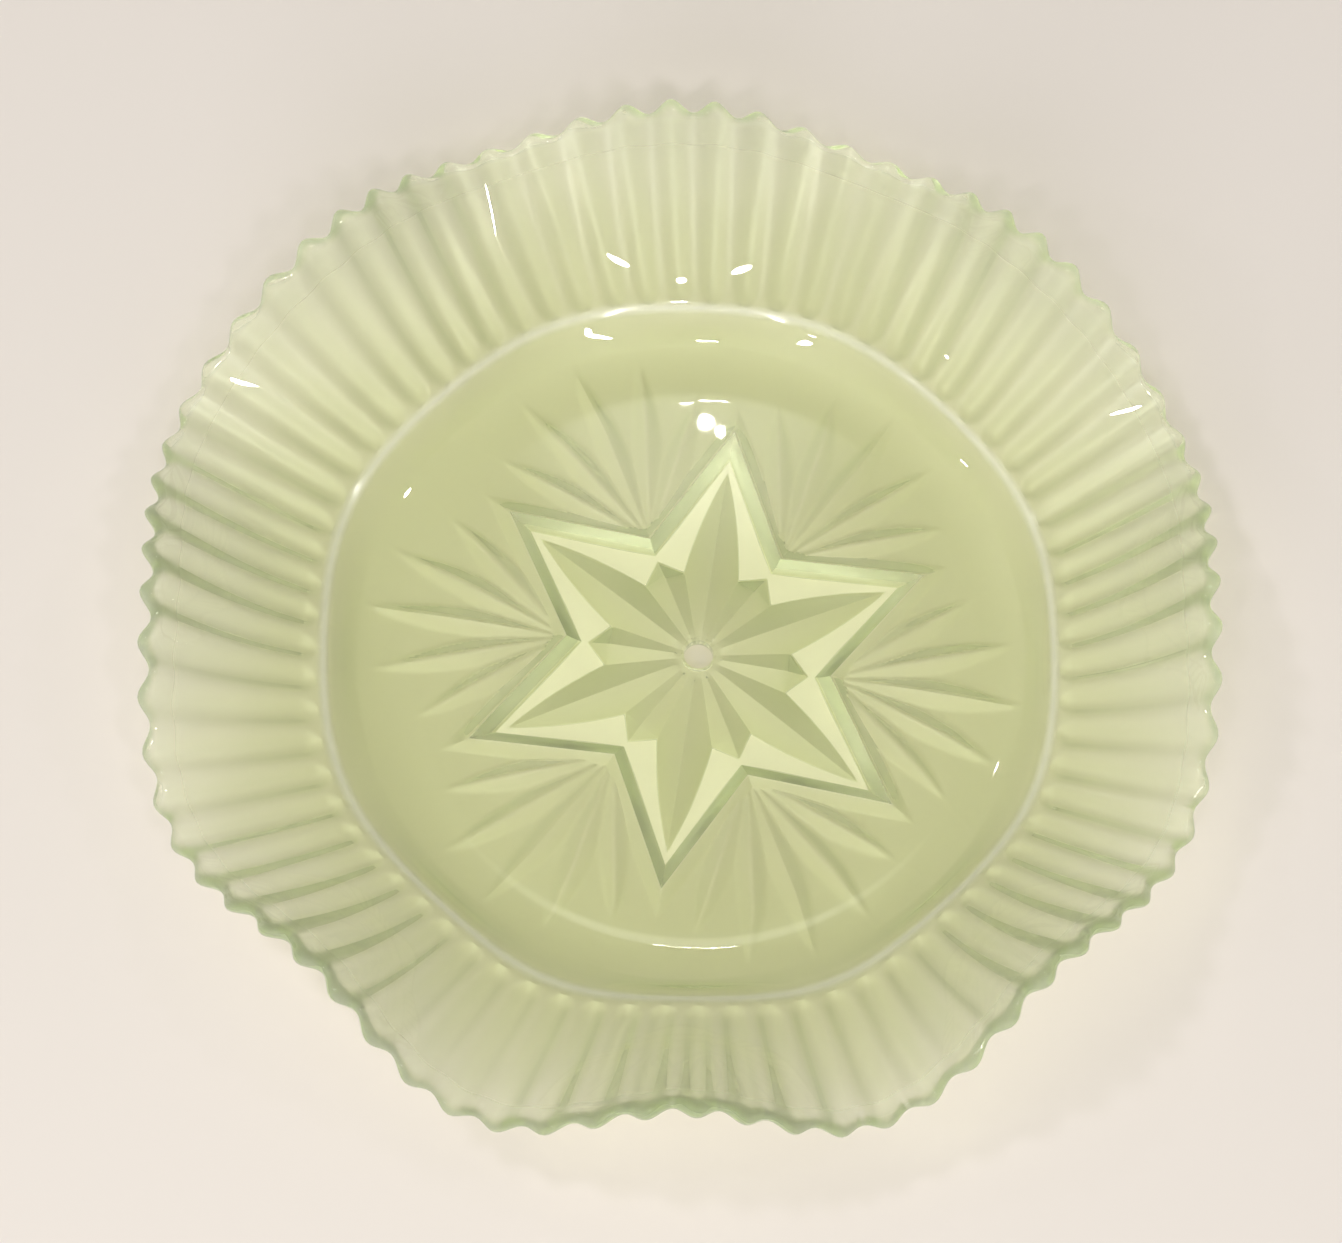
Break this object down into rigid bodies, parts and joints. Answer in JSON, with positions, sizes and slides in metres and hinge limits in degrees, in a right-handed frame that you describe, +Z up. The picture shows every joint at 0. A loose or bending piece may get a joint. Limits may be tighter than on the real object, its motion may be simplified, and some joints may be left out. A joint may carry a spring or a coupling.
{
  "type": "pressed glass dish",
  "caption": "Round pressed-glass dish with a star base, fluted rim with a crimped wavy edge, and a centre hole for a bolted handle or stand.",
  "frame": {"origin": "on the axis of the centre hole, in the plane that the star on the underside stands on", "axes": "+Z up along the hole; -Y is the side nearest the camera in the picture; +X to its right"},
  "size_m": [0.2311, 0.2316, 0.0457],
  "materials": {
    "glass": "pale yellow-green uranium glass, fire-polished inside and satin outside"
  },
  "bodies": {
    "root": {"dish": "glass"}
  },
  "joints": []
}
